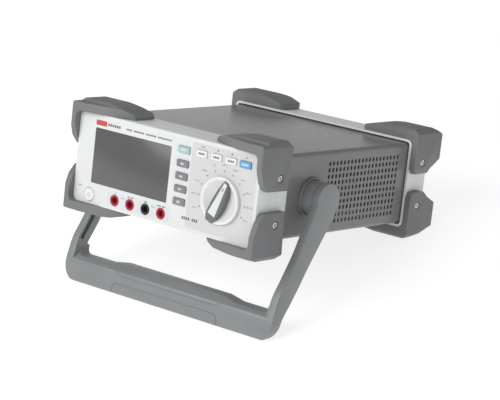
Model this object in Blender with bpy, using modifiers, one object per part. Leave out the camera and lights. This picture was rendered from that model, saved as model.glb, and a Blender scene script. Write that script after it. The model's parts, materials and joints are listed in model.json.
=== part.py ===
"""A bench multimeter with corner bumpers and a swing handle, one object for each piece.

The case frame has X to the right seen from the front, Y to the back with 0 on the front panel,
and Z up with 0 under the front bezel. All sizes here are in millimetres; the helpers build in
metres. The case leans back on its handle, so the empty that holds everything is tilted.
"""

import math

import bmesh
import bpy
from mathutils import Matrix, Vector

MM = 0.001

# Case
BEZEL_WIDTH = 252.0
BEZEL_HEIGHT = 98.0
FRONT_DEPTH = 47.0
SLEEVE_DEPTH = 214.0
REAR_DEPTH = 34.0
BEZEL_RADIUS = 6.0
BEZEL_WALL = 3.5
PANEL_WALL = 3.0
SLEEVE_INSET = 4.0
SLEEVE_SHEET = 1.2
SLEEVE_RADIUS = 5.0
SLEEVE_TUCK = 11.0
HALF_WIDTH = BEZEL_WIDTH / 2
SLEEVE_X = HALF_WIDTH - SLEEVE_INSET
REAR_START = FRONT_DEPTH + SLEEVE_DEPTH
CASE_DEPTH = REAR_START + REAR_DEPTH
GAP = 0.3

# Stance: the case leans back by TILT, and the floor lies REST_DEPTH below the case origin
TILT = math.radians(18.5)
REST_DEPTH = 98.0

# Front panel: places are (x, z) on the panel
WINDOW = (-102.3, 23.3, 6.2, 83.4)
DIAL_CENTRE = (79.6, 41.4)
DIAL_RADIUS = 24.8
DIAL_WELL = 21.2
DIAL_REST = math.radians(67.5)
JACK_PITCH = 22.0
JACKS = [(-65.6 + JACK_PITCH * index, 10.7) for index in range(4)]
POWER_CENTRE = (-102.5, 9.8)
POWER_RADIUS = 7.0
SOFT_KEY_X = 23.8
SOFT_KEY = (15.6, 7.0)
TOP_ROW_Z = 83.9
TOP_KEY = (13.6, 6.8)
KEYS = {
    "key_select": (SOFT_KEY_X, 83.2, *SOFT_KEY),
    "key_soft_1": (SOFT_KEY_X, 68.7, *SOFT_KEY),
    "key_soft_2": (SOFT_KEY_X, 55.3, *SOFT_KEY),
    "key_soft_3": (SOFT_KEY_X, 41.9, *SOFT_KEY),
    "key_soft_4": (SOFT_KEY_X, 28.5, *SOFT_KEY),
    "key_hold": (48.1, TOP_ROW_Z, *TOP_KEY),
    "key_range": (68.1, TOP_ROW_Z, *TOP_KEY),
    "key_relative": (87.6, TOP_ROW_Z, *TOP_KEY),
    "key_shift": (106.4, TOP_ROW_Z, 14.8, 7.0),
}
KEY_PROUD = 1.6
KEY_CLEARANCE = 0.4
KEY_FLANGE = 1.4
KEY_TRAVEL = 1.0
BOARD_Y = 12.0
BOARD_THICK = 1.6

# Handle: pivot on the case sides, an arm each side and a grip across the front
PIVOT = (93.0, 47.0)
HUB_RADIUS = 18.5
SPIGOT_RADIUS = 9.0
ARM_INNER = 137.7
ARM_OUTER = 146.5
GRIP_TOP = -63.5
GRIP_ENDS = -66.5
GRIP_FILLET = 10.0
HANDLE_CORNER = 20.0

# Bumpers: outer face, screws and how far the front lip stands proud of the panel
BUMPER_X = 133.2
BUMPER_TOP = 110.8
LIP_PROUD = 7.8
SCREW_OFFSET = 24.2
SCREW_Y = (24.7, 277.5)

# The grip passes round the front bumpers' corners, so it keeps out of this circle round the pivot
SWING_CLEARANCE = 1.0
SWING_RADIUS = math.hypot(PIVOT[0] + LIP_PROUD, BUMPER_TOP - PIVOT[1]) + SWING_CLEARANCE


# ---- Helpers -----------------------------------------------------------------------------

def clear_scene():
    for obj in list(bpy.data.objects):
        bpy.data.objects.remove(obj, do_unlink=True)


def collection(name):
    found = bpy.data.collections.get(name) or bpy.data.collections.new(name)
    if name not in bpy.context.scene.collection.children:
        bpy.context.scene.collection.children.link(found)
    return found


clear_scene()
PARTS = collection("bench_multimeter")
CUTTERS = collection("cutters")
CASE = bpy.data.objects.new("case_frame", None)
PARTS.objects.link(CASE)


def finish(name, colour, roughness, metallic=0.0):
    """A Principled material of one colour."""
    material = bpy.data.materials.new(name)
    material.use_nodes = True
    shader = material.node_tree.nodes["Principled BSDF"]
    shader.inputs["Base Color"].default_value = (*colour, 1.0)
    shader.inputs["Roughness"].default_value = roughness
    shader.inputs["Metallic"].default_value = metallic
    return material


WHITE_PLASTIC = finish("white_plastic", (0.80, 0.81, 0.80), 0.45)
GREY_RUBBER = finish("grey_rubber", (0.16, 0.165, 0.17), 0.7)
GREY_PAINT = finish("grey_paint", (0.19, 0.19, 0.195), 0.5)
GREY_PLASTIC = finish("grey_plastic", (0.20, 0.205, 0.21), 0.5)
DARK_PLASTIC = finish("dark_plastic", (0.05, 0.05, 0.055), 0.5)
KNOB_PLASTIC = finish("knob_plastic", (0.55, 0.56, 0.57), 0.4)
KEY_GREY = finish("key_grey", (0.26, 0.26, 0.28), 0.5)
KEY_BLUE = finish("key_blue", (0.10, 0.34, 0.70), 0.45)
KEY_GREEN = finish("key_green", (0.40, 0.63, 0.60), 0.45)
JACK_RED = finish("jack_red", (0.45, 0.02, 0.04), 0.35)
JACK_BLACK = finish("jack_black", (0.03, 0.03, 0.03), 0.4)
SCREEN_GREY = finish("screen_grey", (0.13, 0.13, 0.13), 0.2)
STEEL = finish("steel", (0.62, 0.62, 0.63), 0.3, 1.0)
ALUMINIUM = finish("aluminium", (0.72, 0.73, 0.74), 0.4, 1.0)
BOARD_GREEN = finish("board_green", (0.02, 0.15, 0.06), 0.5)
COPPER = finish("copper", (0.70, 0.33, 0.18), 0.35, 1.0)
IRON = finish("iron", (0.20, 0.20, 0.21), 0.5, 1.0)
RIBBON = finish("ribbon_grey", (0.45, 0.45, 0.46), 0.6)
CERAMIC = finish("ceramic", (0.80, 0.78, 0.72), 0.5)


def to_mesh(bm, name):
    bmesh.ops.recalc_face_normals(bm, faces=bm.faces)
    mesh = bpy.data.meshes.new(name)
    bm.to_mesh(mesh)
    bm.free()
    return mesh


def add(name, mesh, material):
    """An object for a mesh in the case frame; a piece with no material is a cutter."""
    obj = bpy.data.objects.new(name, mesh)
    obj.parent = CASE
    if material is None:
        CUTTERS.objects.link(obj)
        obj.hide_render = True
        obj.display_type = "WIRE"
    else:
        PARTS.objects.link(obj)
        mesh.materials.append(material)
    return obj


def round_off(obj, width, segments=1, angle=30.0):
    bevel = obj.modifiers.new("round_off", "BEVEL")
    bevel.width = width * MM
    bevel.segments = segments
    bevel.limit_method = "ANGLE"
    bevel.angle_limit = math.radians(angle)
    return obj


def block(name, low, high, material=None, edge=0.0):
    """A box between two corners, with its edges eased by edge."""
    bm = bmesh.new()
    bmesh.ops.create_cube(bm, size=1.0)
    size = Vector(high) - Vector(low)
    centre = (Vector(high) + Vector(low)) / 2
    bmesh.ops.scale(bm, vec=size * MM, verts=bm.verts)
    bmesh.ops.translate(bm, vec=centre * MM, verts=bm.verts)
    obj = add(name, to_mesh(bm, name), material)
    return round_off(obj, edge) if edge else obj


# Turns a shape made along Z so that it runs along another axis
ALONG = {
    "X": Matrix(((0, 0, 1), (1, 0, 0), (0, 1, 0))).to_4x4(),
    "Y": Matrix.Rotation(math.radians(90), 4, "X"),
    "Z": Matrix.Identity(4),
}


def rods(name, centres, radius, start, end, axis, material=None, sides=24):
    """Cylinders along one axis, one for each centre (the other two coordinates, in order)."""
    bm = bmesh.new()
    middle = -(start + end) / 2 if axis == "Y" else (start + end) / 2
    for across, up in centres:
        place = ALONG[axis] @ Matrix.Translation(Vector((across, up, middle)) * MM)
        bmesh.ops.create_cone(bm, cap_ends=True, segments=sides, radius1=radius * MM,
                              radius2=radius * MM, depth=abs(end - start) * MM, matrix=place)
    mesh = to_mesh(bm, name)
    smooth(mesh)
    return add(name, mesh, material)


def smooth(mesh, angle=35.0):
    mesh.shade_smooth()
    mesh.set_sharp_from_angle(angle=math.radians(angle))


def prism(name, outlines, start, end, axis, material=None):
    """Closed outlines extruded along an axis; an outline inside another is a hole in it."""
    curve = bpy.data.curves.new(name, "CURVE")
    curve.dimensions = "2D"
    curve.fill_mode = "BOTH"
    curve.extrude = abs(end - start) / 2 * MM
    for outline in outlines:
        spline = curve.splines.new("POLY")
        spline.points.add(len(outline) - 1)
        for point, (across, up) in zip(spline.points, outline):
            point.co = (across * MM, up * MM, 0.0, 1.0)
        spline.use_cyclic_u = True
    guide = bpy.data.objects.new(name + "_outline", curve)
    CUTTERS.objects.link(guide)
    evaluated = guide.evaluated_get(bpy.context.evaluated_depsgraph_get())
    extruded = bpy.data.meshes.new_from_object(evaluated)
    bpy.data.objects.remove(guide, do_unlink=True)
    middle = -(start + end) / 2 if axis == "Y" else (start + end) / 2
    bm = bmesh.new()
    bm.from_mesh(extruded)
    bmesh.ops.remove_doubles(bm, verts=bm.verts, dist=0.001 * MM)
    bmesh.ops.translate(bm, vec=(0.0, 0.0, middle * MM), verts=bm.verts)
    bmesh.ops.transform(bm, matrix=ALONG[axis], verts=bm.verts)
    mesh = to_mesh(bm, name)
    smooth(mesh)
    return add(name, mesh, material)


def turned(name, profile, material=None, steps=32, closed=True):
    """A profile of (radius, height) turned about Z; it runs down its outer side."""
    bm = bmesh.new()
    corners = [bm.verts.new((radius * MM, 0.0, height * MM)) for radius, height in profile]
    for first, second in zip(corners, corners[1:]):
        bm.edges.new((first, second))
    if closed:
        bm.edges.new((corners[-1], corners[0]))
    mesh = bpy.data.meshes.new(name)
    bm.to_mesh(mesh)
    bm.free()
    obj = add(name, mesh, material)
    screw = obj.modifiers.new("turn", "SCREW")
    screw.steps = steps
    screw.render_steps = steps
    screw.use_merge_vertices = True
    screw.merge_threshold = 0.01 * MM
    screw.use_smooth_shade = True
    return obj


def boolean(obj, operation, tools):
    for tool in tools:
        modifier = obj.modifiers.new(operation.lower(), "BOOLEAN")
        modifier.operation = operation
        modifier.object = tool
    return obj


def cut(obj, *tools):
    return boolean(obj, "DIFFERENCE", tools)


def keep_inside(obj, *tools):
    return boolean(obj, "INTERSECT", tools)


def fuse(obj, *tools):
    return boolean(obj, "UNION", tools)


def rectangle(x0, y0, x1, y1):
    return [(x0, y0), (x1, y0), (x1, y1), (x0, y1)]


def arc(centre, radius, start, end, steps):
    """Points on an arc, from one angle to another in degrees."""
    angles = [math.radians(start + (end - start) * step / steps) for step in range(steps + 1)]
    return [(centre[0] + radius * math.cos(a), centre[1] + radius * math.sin(a)) for a in angles]


def circle(centre, radius, sides=24):
    return arc(centre, radius, 0.0, 360.0, sides)[:-1]


def rounded(x0, y0, x1, y1, radius, steps=4):
    """A rectangle with rounded corners."""
    points = arc((x1 - radius, y0 + radius), radius, -90, 0, steps)
    points += arc((x1 - radius, y1 - radius), radius, 0, 90, steps)
    points += arc((x0 + radius, y1 - radius), radius, 90, 180, steps)
    points += arc((x0 + radius, y0 + radius), radius, 180, 270, steps)
    return points


def curved(points, steps=2):
    """A smooth run through the points (Catmull-Rom), ends included."""
    padded = [points[0], *points, points[-1]]
    run = []
    for before, start, end, after in zip(padded, padded[1:], padded[2:], padded[3:]):
        for step in range(steps):
            t = step / steps
            run.append(tuple(
                0.5 * (2 * b + (c - a) * t + (2 * a - 5 * b + 4 * c - d) * t ** 2
                       + (3 * b - a - 3 * c + d) * t ** 3)
                for a, b, c, d in zip(before, start, end, after)))
    return run + [points[-1]]


def flipped(outline):
    """An outline mirrored left to right."""
    return [(-across, up) for across, up in reversed(outline)]


def upside_down(outline):
    """An outline mirrored about half the bezel height."""
    return [(across, BEZEL_HEIGHT - up) for across, up in reversed(outline)]


def floor_z(y):
    """Height in the case frame of the floor that the tilted case stands on."""
    return (y * math.sin(TILT) - REST_DEPTH) / math.cos(TILT)


# ---- Case --------------------------------------------------------------------------------

def bezel_outline(grow=0.0):
    return rounded(-HALF_WIDTH - grow, -grow, HALF_WIDTH + grow, BEZEL_HEIGHT + grow,
                   BEZEL_RADIUS + grow)


def bezel_cavity():
    wall = BEZEL_WALL
    return rounded(-HALF_WIDTH + wall, wall, HALF_WIDTH - wall, BEZEL_HEIGHT - wall, 3.0)


def panel_holes():
    """Everything that opens through the front panel."""
    x0, z0, x1, z1 = WINDOW
    holes = [rectangle(x0, z0, x1, z1), circle(DIAL_CENTRE, DIAL_WELL, 40)]
    holes.append(circle(POWER_CENTRE, POWER_RADIUS + KEY_CLEARANCE, 28))
    for jack in JACKS:
        holes.append(circle(jack, 5.1, 20))
    for x, z, width, height in KEYS.values():
        w = width / 2 + KEY_CLEARANCE
        h = height / 2 + KEY_CLEARANCE
        holes.append(rectangle(x - w, z - h, x + w, z + h))
    return holes


def screw_centres(y):
    middle = BEZEL_HEIGHT / 2
    return [(y, middle - SCREW_OFFSET), (y, middle + SCREW_OFFSET)]


def front_bezel():
    bezel = prism("front_bezel", [bezel_outline()], 0, FRONT_DEPTH, "Y", WHITE_PLASTIC)
    cavity = prism("front_cavity", [bezel_cavity()], PANEL_WALL, FRONT_DEPTH + 5, "Y")
    holes = prism("panel_holes", panel_holes(), -5, PANEL_WALL + 5, "Y")
    bolts = rods("front_bolt_holes", screw_centres(SCREW_Y[0]), 2.2, -140, 140, "X", sides=12)
    return cut(bezel, cavity, holes, bolts)


PANEL_SCREWS = [(x, z) for x in (-115.5, 115.5) for z in (10.5, 87.5)]
REAR_PANEL_Y = 286.0


def rear_bezel():
    bezel = prism("rear_bezel", [bezel_outline(), bezel_cavity()], REAR_START, CASE_DEPTH, "Y",
                  WHITE_PLASTIC)
    posts = [rectangle(x - 8, z - 8, x + 8, z + 8) for x, z in PANEL_SCREWS]
    ledges = prism("panel_ledges", posts, REAR_PANEL_Y - 9, REAR_PANEL_Y - GAP, "Y")
    inside = prism("ledge_limit", [bezel_outline(-1.0)], REAR_START, CASE_DEPTH, "Y")
    keep_inside(ledges, inside)
    threads = rods("panel_threads", PANEL_SCREWS, 1.9, REAR_PANEL_Y - 15, REAR_PANEL_Y + 5,
                   "Y", sides=10)
    bolts = rods("rear_bolt_holes", screw_centres(SCREW_Y[1]), 2.2, -140, 140, "X", sides=12)
    return cut(fuse(bezel, ledges), threads, bolts)


def case_sleeve():
    x, low, high = SLEEVE_X, SLEEVE_INSET, BEZEL_HEIGHT - SLEEVE_INSET
    sheet, radius = SLEEVE_SHEET, SLEEVE_RADIUS
    outer = rounded(-x, low, x, high, radius)
    inner = rounded(-x + sheet, low + sheet, x - sheet, high - sheet, radius - sheet)
    sleeve = prism("case_sleeve", [outer, inner], FRONT_DEPTH - SLEEVE_TUCK,
                   REAR_START + SLEEVE_TUCK, "Y", GREY_PAINT)
    holes = rods("hub_holes", [PIVOT], SPIGOT_RADIUS + GAP, -140, 140, "X", sides=24)
    return cut(sleeve, holes)


MAIN_BOARD_Z = 15.0
MAIN_BOARD_TOP = MAIN_BOARD_Z + BOARD_THICK
STANDOFFS = [(x, y) for x in (-100, 0, 100) for y in (70, 240)]
INLET = (-84.0, 48.0)
SERIAL_PORT = (10.0, 50.0)
USB_PORT = (52.0, 50.0)
FUSE_CAP = (-48.0, 48.0)


def rear_panel():
    margin = BEZEL_WALL + GAP
    edge = rounded(-HALF_WIDTH + margin, margin, HALF_WIDTH - margin, BEZEL_HEIGHT - margin, 2.7)
    x, z = INLET
    holes = [rectangle(x - 14, z - 10.5, x + 14, z + 10.5)]
    x, z = SERIAL_PORT
    holes.append(rectangle(x - 10, z - 5.5, x + 10, z + 5.5))
    x, z = USB_PORT
    holes.append(rectangle(x - 6.5, z - 6, x + 6.5, z + 6))
    holes.append(circle(FUSE_CAP, 6.3, 16))
    holes += [circle(centre, 1.9, 10) for centre in PANEL_SCREWS]
    return prism("rear_panel", [edge, *holes], REAR_PANEL_Y, REAR_PANEL_Y + 2, "Y", ALUMINIUM)


def chassis_tray():
    """A folded sheet tray under the main board, with the standoffs pressed into it."""
    x, low, high, sheet = 117.0, 8.0, 28.0, 1.2
    section = [(-x, low), (x, low), (x, high), (x - sheet, high), (x - sheet, low + sheet),
               (-x + sheet, low + sheet), (-x + sheet, high), (-x, high)]
    tray = prism("chassis_tray", [section], FRONT_DEPTH - 5, REAR_PANEL_Y - 12, "Y", ALUMINIUM)
    standoffs = rods("standoffs", STANDOFFS, 3.2, low + 0.5, MAIN_BOARD_Z - GAP, "Z", sides=10)
    return fuse(tray, standoffs)


# ---- Corner bumpers ----------------------------------------------------------------------

LIP_Y = -LIP_PROUD
BUMPER_FRONT_VIEW = [(57, 90), (120, 90), (120, 55), (BUMPER_X, 55), (BUMPER_X, 105.5),
                     (127, BUMPER_TOP), (91, BUMPER_TOP), (74, 108.3), (60, 104.5), (57, 101)]
FRONT_SIDE_VIEW = [(LIP_Y, 84), (-2.9, 69.8), (5.2, 60.5), (37.8, 59.8), (40.7, 104.9),
                   (37.0, BUMPER_TOP), (6.0, BUMPER_TOP), (4.0, 107.7), (-6.5, 107.7),
                   (LIP_Y, 106.4)]
FRONT_PLAN = [(BUMPER_X, -6.2), (BUMPER_X, 42), (57, 42), (56.2, 10.5), (73, 3.2), (86, -1),
              (97, -4.5), (118, LIP_Y - 0.4), (131.7, LIP_Y - 0.4)]
REAR_Y = REAR_START + 0.8
REAR_UPPER_SIDE = [(REAR_Y, 66), (265, 61), (287.4, 61.3), (293.1, 66.4), (308.5, 75.9),
                   (312.2, 82.5), (313.5, 100.9), (302.4, 108.4), (296, BUMPER_TOP),
                   (264, BUMPER_TOP), (REAR_Y, 108)]
FOOT_FRONT = 279.0
FOOT_REAR = 312.0
REAR_LOWER_SIDE = [(REAR_Y, 33), (REAR_Y, -9.5), (264, -12.3), (272, -11.8),
                   (FOOT_FRONT, floor_z(FOOT_FRONT)), (FOOT_REAR, floor_z(FOOT_REAR)),
                   (310.9, 17.7), (308.8, 26.6), (293.9, 34), (286.2, 40), (279.8, 41.3),
                   (265, 40.3)]
REAR_PLAN = [(BUMPER_X, REAR_Y), (BUMPER_X, 309), (128, 314), (92, 314), (84, 301), (60, 297),
             (57, 290), (57, 266), (61, REAR_Y)]


def bumpers():
    core = prism("bumper_core", [bezel_outline(GAP)], LIP_Y - 5, CASE_DEPTH + GAP, "Y")
    bores = []
    for y in SCREW_Y:
        bores.append(rods(f"screw_bores_{y:.0f}", screw_centres(y), 2.2, -140, 140, "X", sides=12))
    side_views = {
        ("front", "upper"): FRONT_SIDE_VIEW,
        ("front", "lower"): upside_down(FRONT_SIDE_VIEW),
        ("rear", "upper"): REAR_UPPER_SIDE,
        ("rear", "lower"): REAR_LOWER_SIDE,
    }
    plans = {"front": FRONT_PLAN, "rear": REAR_PLAN}
    for side, sign in (("left", -1), ("right", 1)):
        mirror = flipped if sign < 0 else list
        recess = rods(f"recess_{side}", [c for y in SCREW_Y for c in screw_centres(y)], 4.3,
                      sign * (BUMPER_X - 3), sign * (BUMPER_X + 5), "X", sides=16)
        views = {}
        for level, turn in (("upper", list), ("lower", upside_down)):
            views[level] = prism(f"bumper_view_{level}_{side}",
                                 [mirror(turn(BUMPER_FRONT_VIEW))], -15, 320, "Y")
        for end in ("front", "rear"):
            plan = prism(f"bumper_plan_{end}_{side}", [mirror(plans[end])], -20, 120, "Z")
            for level in ("upper", "lower"):
                bumper = prism(f"bumper_{end}_{level}_{side}", [side_views[end, level]],
                               sign * 50, sign * 136, "X", GREY_RUBBER)
                keep_inside(bumper, views[level], plan)
                cut(bumper, core, recess, *bores)


def bumper_screws():
    """Eight socket screws, two on each side at the front and the rear."""
    profile = [(0, -2.2), (1.7, -2.2), (2.0, -0.6), (3.6, -0.6), (3.6, -3.0), (1.8, -3.0),
               (1.8, -13.5), (0, -13.5)]
    for sign, side in ((-1, "left"), (1, "right")):
        turn = Matrix.Rotation(math.radians(90 * sign), 4, "Y")
        for y, end in zip(SCREW_Y, ("front", "rear")):
            for (_, z), level in zip(screw_centres(y), ("lower", "upper")):
                screw = turned(f"bumper_screw_{end}_{level}_{side}", profile, STEEL, steps=10,
                               closed=False)
                head = Vector((sign * (BUMPER_X + GAP), y, z)) * MM
                screw.matrix_local = Matrix.Translation(head) @ turn


# ---- Display, keys, dial and terminals -----------------------------------------------------

def display():
    x0, z0, x1, z1 = WINDOW
    block("display_window", (x0 - 3.7, PANEL_WALL + GAP, z0 - 3.7), (x1 + 3.7, 5.3, z1 + 3.7),
          SCREEN_GREY)
    outer = rectangle(x0 - 2, z0 - 2, x1 + 2, z1 + 2)
    inner = rectangle(x0 + 4, z0 + 3, x1 - 4, z1 - 3)
    prism("lcd_frame", [outer, inner], 5.6, 10.4, "Y", STEEL)
    block("lcd_module", (x0 + 4 + GAP, 6.2, z0 + 3 + GAP), (x1 - 4 - GAP, 10.8, z1 - 3 - GAP),
          SCREEN_GREY)


def key(name, x, z, width, height, material):
    """A key cap with the flange that keeps it behind the panel; its origin is on its axis."""
    w, h = width / 2, height / 2
    cap = block(name, (-w, -KEY_PROUD, -h), (w, PANEL_WALL + 1, h), material, edge=0.5)
    flange = block(name + "_flange", (-w - KEY_FLANGE, PANEL_WALL + GAP, -h - KEY_FLANGE),
                   (w + KEY_FLANGE, PANEL_WALL + 1.8, h + KEY_FLANGE))
    for piece in (cap, flange):
        piece.location = Vector((x, 0.0, z)) * MM
    return fuse(cap, flange)


def keys():
    colours = {"key_select": KEY_GREEN, "key_shift": KEY_BLUE}
    for name, (x, z, width, height) in KEYS.items():
        white = name in ("key_hold", "key_range", "key_relative")
        material = colours.get(name, WHITE_PLASTIC if white else KEY_GREY)
        key(name, x, z, width, height, material)


def front_board():
    """The board behind the panel, with a tact switch soldered to it behind each key."""
    outline = rectangle(-116, 19, 116, 92)
    board = prism("front_board", [outline, circle(DIAL_CENTRE, 4.0, 16)], BOARD_Y,
                  BOARD_Y + BOARD_THICK, "Y", BOARD_GREEN)
    centres = [(x, z) for x, z, width, height in KEYS.values()]
    bodies = [rectangle(x - 3, z - 3, x + 3, z + 3) for x, z in centres]
    switches = prism("key_switches", bodies, 8.6, BOARD_Y + 0.5, "Y")
    plungers = rods("switch_plungers", centres, 1.6, PANEL_WALL + 1.8 + KEY_TRAVEL + GAP, 9.0,
                    "Y", sides=8)
    return fuse(board, switches, plungers)


def power():
    """The push-push mains button and the switch behind it."""
    x, z = POWER_CENTRE
    button = rods("power_button", [(0, 0)], POWER_RADIUS, -1.2, 4.2, "Y", WHITE_PLASTIC, sides=28)
    stem = rods("power_stem", [(0, 0)], 2.0, 3.8, 15.0, "Y", sides=12)
    for piece in (button, stem):
        piece.location = Vector((x, 0.0, z)) * MM
    round_off(button, 0.6, angle=40.0)
    fuse(button, stem)
    switch = block("power_switch", (x - 6.5, 12.0, z - 6), (x + 6.5, 34.0, z + 6), DARK_PLASTIC)
    well = rods("power_well", [POWER_CENTRE], 2.5, 5.0, 19.0, "Y", sides=12)
    cut(switch, well)


def input_jacks():
    """Shrouded 4 mm sockets, each with its contact pressed in: an open tube on a deep cup."""
    profile = [(0, -24), (2.1, -24), (2.1, -12), (3.8, -12), (3.8, 0.6), (4.8, 0.6), (4.8, -26),
               (2.6, -26), (2.6, -30), (0, -30)]
    for index, (x, z) in enumerate(JACKS, start=1):
        material = JACK_BLACK if index == 3 else JACK_RED
        jack = turned(f"input_jack_{index}", profile, material, steps=18, closed=False)
        jack.location = Vector((x, 0.0, z)) * MM
        jack.rotation_euler.x = math.radians(90)


def dial_frame():
    """The empty on the dial's axis, turned to the position that the dial rests in."""
    frame = bpy.data.objects.new("dial_axis", None)
    PARTS.objects.link(frame)
    frame.parent = CASE
    frame.location = Vector((DIAL_CENTRE[0], 0.0, DIAL_CENTRE[1])) * MM
    frame.rotation_euler.y = math.radians(90) - DIAL_REST
    return frame


# The grip along its length, from its tail to its tip: (place, half width)
GRIP_FACE = -6.4
GRIP_SIDE = [(-24.8, 4.4), (-18.6, 7.2), (-6.0, 7.4), (8.0, 6.1), (18.0, 4.2), (22.8, 2.6)]
GRIP_SLOPE = math.radians(1.5)
INSERT_SIDE = [(-17.0, 5.0), (20.5, 2.0)]
INSERT_PROUD = 0.5
INSERT_DEPTH = 1.2

# The dial's bowl as (radius, height before the panel), from its middle to its rim
BOWL = [(8.0, -2.8), (13.0, -1.6), (17.5, 0.6), (20.8, 3.2), (22.4, 4.2)]
BOWL_FLOOR = -3.0


def taper(side, grow=0.0):
    """An outline across the grip, made from the half widths along it."""
    right = [(half + grow, place) for place, half in side]
    return right + [(-across, place) for across, place in reversed(right)]


def grip_slope(lift):
    """Everything in front of the grip's face, which runs down towards the tip."""
    name = f"grip_slope_{lift:.1f}"
    room = block(name, (-20, -20, -40), (20, 0, 40))
    room.location = Vector((0, GRIP_FACE - lift, GRIP_SIDE[0][0])) * MM
    room.rotation_euler.x = -GRIP_SLOPE
    return room


def dial():
    """The rotary knob: a dished disc, a bar grip with its insert, and the shaft."""
    frame = dial_frame()
    rim = DIAL_RADIUS
    outside = [(rim - 0.7, 4.2), (rim, 3.5), (rim, 0.5), (20.4, 0.5), (19.6, -0.9),
               (15.5, -3.6), (9.0, -5.2), (3.3, -5.4)]
    disc = turned("knob_disc", [(3.3, BOWL_FLOOR), *BOWL, *outside], KNOB_PLASTIC, steps=40)
    behind = [(0.0, BOWL_FLOOR + GAP)] + [(radius, height + GAP) for radius, height in BOWL]
    bowl = turned("bowl_room", behind + [(rim + 5, 4.2 + GAP), (rim + 5, -12), (0, -12)], steps=40)
    for piece in (disc, bowl):
        piece.rotation_euler.x = math.radians(90)
    grip = prism("knob_grip", [taper(GRIP_SIDE)], GRIP_FACE - 3, 6, "Y", DARK_PLASTIC)
    face = grip_slope(0.0)
    slot = prism("insert_slot", [taper(INSERT_SIDE, GAP)], GRIP_FACE - 5, GRIP_FACE + 3, "Y")
    slot_face = grip_slope(-INSERT_DEPTH)
    keep_inside(slot, slot_face)
    bore = rods("shaft_bore", [(0, 0)], 3.3, -1.5, 8, "Y", sides=16)
    cut(grip, face, slot, bore, bowl)
    insert = prism("knob_insert", [taper(INSERT_SIDE)], GRIP_FACE - 3, GRIP_FACE + 3, "Y",
                   WHITE_PLASTIC)
    insert_face = grip_slope(INSERT_PROUD)
    insert_back = grip_slope(GAP - INSERT_DEPTH)
    cut(insert, insert_face)
    keep_inside(insert, insert_back)
    shaft = rods("dial_shaft", [(0, 0)], 3.0, -1.2, 17.0, "Y", STEEL, sides=16)
    for piece in (disc, bowl, grip, face, slot, slot_face, bore, insert, insert_face,
                  insert_back, shaft):
        piece.parent = frame
    x, z = DIAL_CENTRE
    switch = block("rotary_switch", (x - 15, BOARD_Y + BOARD_THICK + GAP, z - 15),
                   (x + 15, 22.0, z + 15), DARK_PLASTIC, edge=1.5)
    cut(switch, rods("switch_bore", [DIAL_CENTRE], 3.3, 10, 19, "Y", sides=16))


# ---- Swing handle --------------------------------------------------------------------------

def handle_side_view():
    """The handle seen from the side: the pivot disc, the arm, and the end of the grip."""
    front_edge = curved([(74.9, 42.5), (66.2, 22), (53.6, -6), (38.3, -32), (28.4, -48),
                         (23.8, -61), (20.4, -75), (19.6, -94)])
    rear_edge = curved([(31, floor_z(31)), (34, -82.7), (37.6, -72.6), (47.6, -58), (60.6, -38.3),
                        (69.6, -23.3), (82.8, -3.4), (93.5, 12.6), (101.5, 25), (109.6, 38.7)])
    disc = arc(PIVOT, HUB_RADIUS, -20, 190, 16)
    return front_edge + [(23, floor_z(23))] + rear_edge + disc


def handle_front_view():
    """The U of the handle seen from the front: its outline and the opening in it."""
    top = PIVOT[1] + HUB_RADIUS + 5
    corner = HANDLE_CORNER
    floor = floor_z(19)
    outer = [(ARM_OUTER, top), (-ARM_OUTER, top)]
    outer += arc((-ARM_OUTER + corner, floor + corner), corner, 180, 270, 6)
    outer += arc((ARM_OUTER - corner, floor + corner), corner, 270, 360, 6)
    fillet = GRIP_FILLET
    opening = [(ARM_INNER, top + 5), (-ARM_INNER, top + 5)]
    opening += arc((-ARM_INNER + fillet, GRIP_ENDS + fillet), fillet, 180, 270, 4)
    opening += [(-92, GRIP_ENDS), (-72, GRIP_TOP), (72, GRIP_TOP), (92, GRIP_ENDS)]
    opening += arc((ARM_INNER - fillet, GRIP_ENDS + fillet), fillet, 270, 360, 4)
    return outer, opening


def arm_channels(sign):
    """A channel in an arm's inner face, a rib, and a recess that is open to the rear."""
    spine = curved([(88, 24), (77, 8), (61, -14), (49, -33), (37, -52.5)])
    recesses = []
    for near, far in ((1.8, 15.0), (-7.4, -1.8)):
        edges = {near: [], far: []}
        for before, here, after in zip([spine[0], *spine], spine, [*spine[1:], spine[-1]]):
            along = Vector((after[0] - before[0], after[1] - before[1])).normalized()
            for offset in (near, far):
                edges[offset].append((here[0] - along.y * offset, here[1] + along.x * offset))
        recesses.append(edges[near] + edges[far][::-1])
    name = "arm_channels_" + ("right" if sign > 0 else "left")
    return prism(name, recesses, sign * (ARM_INNER - 5), sign * (ARM_INNER + 4.5), "X")


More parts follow.
